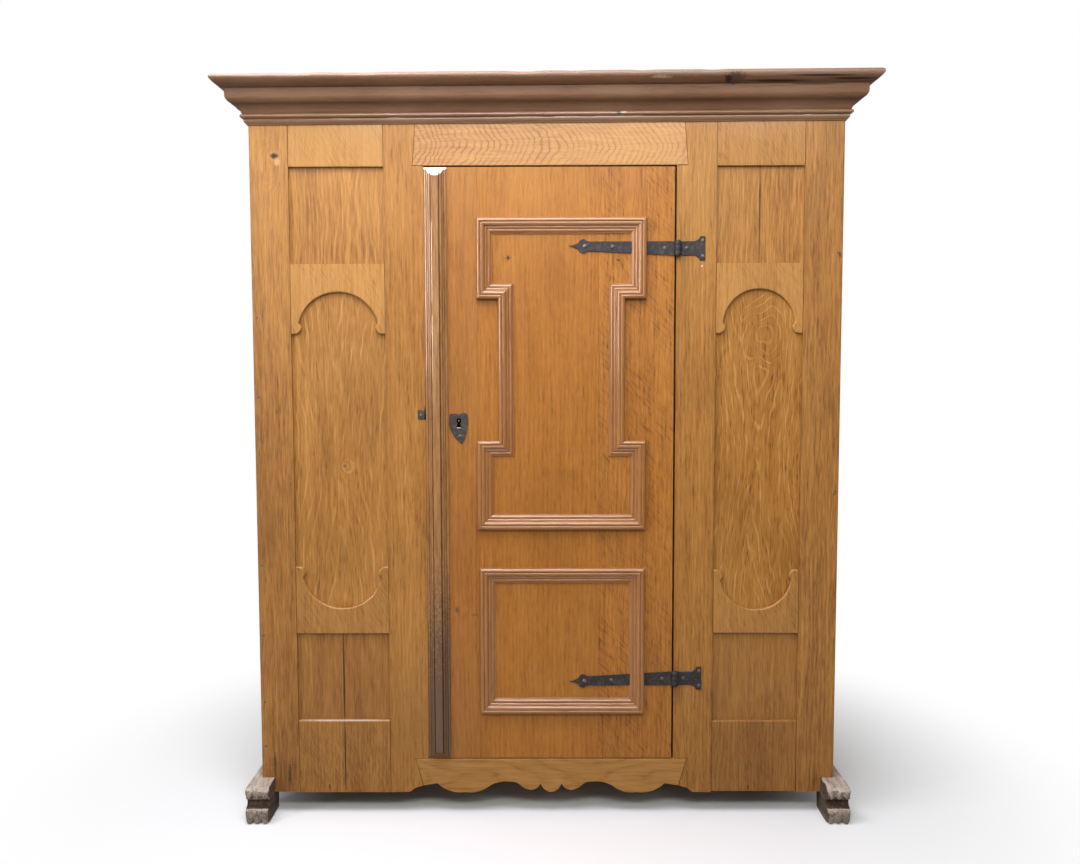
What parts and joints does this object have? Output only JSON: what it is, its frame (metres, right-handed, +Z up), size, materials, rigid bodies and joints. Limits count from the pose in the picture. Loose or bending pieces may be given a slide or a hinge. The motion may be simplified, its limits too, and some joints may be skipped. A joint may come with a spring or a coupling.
{
  "type": "cupboard",
  "caption": "Tall single-door oak cupboard with arched side panels, moulded cornice, eared door mouldings, forged strap hinges, heart escutcheon and long scrolled runner feet.",
  "frame": {"origin": "on the floor, under the middle of the cupboard's overall box", "axes": "+Z up, +X towards the hinged side of the door as seen from the front, +Y from the front to the back"},
  "size_m": [1.76, 0.64, 2.025],
  "materials": {
    "oak_frame": "waxed, worn satin",
    "oak_panel": "waxed satin",
    "oak_boards": "dry waxed",
    "oak_inside": "bare, planed",
    "oak_trim": "waxed satin, rubbed edges",
    "oak_door": "waxed satin",
    "weathered_oak": "weathered, dull",
    "wrought_iron": "forged, blackened",
    "lock_steel": "worn, dull",
    "nail_iron": "forged, rusted"
  },
  "bodies": {
    "carcass": {"stile_outer_left": "oak_frame", "stile_outer_right": "oak_frame", "stile_inner_left": "oak_frame", "stile_inner_right": "oak_frame", "rail_top_left": "oak_frame", "rail_top_right": "oak_frame", "rail_arch_upper_left": "oak_frame", "rail_arch_upper_right": "oak_frame", "rail_arch_lower_left": "oak_frame", "rail_arch_lower_right": "oak_frame", "rail_bottom_left": "oak_frame", "rail_bottom_right": "oak_frame", "lintel_rail": "oak_frame", "apron_rail": "oak_frame", "panel_top_left": "oak_panel", "panel_top_right": "oak_panel", "panel_arched_left": "oak_panel", "panel_arched_right": "oak_panel", "panel_low_left": "oak_panel", "panel_low_right": "oak_panel", "side_boards_left": "oak_boards", "side_boards_right": "oak_boards", "back_boards": "oak_boards", "top_boards": "oak_boards", "rear_post_left": "oak_inside", "rear_post_right": "oak_inside", "rear_rails": "oak_inside", "floor_boards": "oak_inside", "shelf_lower": "oak_inside", "shelf_middle": "oak_inside", "shelf_upper": "oak_inside", "shelf_bearers": "oak_inside", "cornice_crown_front": "oak_trim", "cornice_crown_left": "oak_trim", "cornice_crown_right": "oak_trim", "cornice_neck_front": "oak_trim", "cornice_neck_left": "oak_trim", "cornice_neck_right": "oak_trim", "runner_left": "weathered_oak", "runner_right": "weathered_oak", "hinge_plates": "wrought_iron", "hinge_pins": "wrought_iron", "strike_plate": "wrought_iron", "frame_nails": "nail_iron"},
    "door": {"door_board_left": "oak_door", "door_board_middle": "oak_door", "door_board_right": "oak_door", "door_battens": "oak_inside", "cover_strip": "oak_trim", "upper_moulding_rails": "oak_trim", "upper_moulding_left": "oak_trim", "upper_moulding_right": "oak_trim", "lower_moulding_rails": "oak_trim", "lower_moulding_stiles": "oak_trim", "hinge_strap_upper": "wrought_iron", "hinge_strap_lower": "wrought_iron", "escutcheon": "wrought_iron", "lock_case": "lock_steel", "door_nails": "nail_iron"},
    "lock_bolt": {"lock_bolt": "lock_steel"}
  },
  "joints": [
    {"name": "door_hinge", "type": "hinge", "parent": "carcass", "child": "door", "pos_m": [0.354, -0.2495, 1], "axis": [0, 0, 1], "range_deg": [0, 170]},
    {"name": "bolt_slide", "type": "slide", "parent": "door", "child": "lock_bolt", "axis": [-1, 0, 0], "range_m": [0, 0.014]}
  ]
}
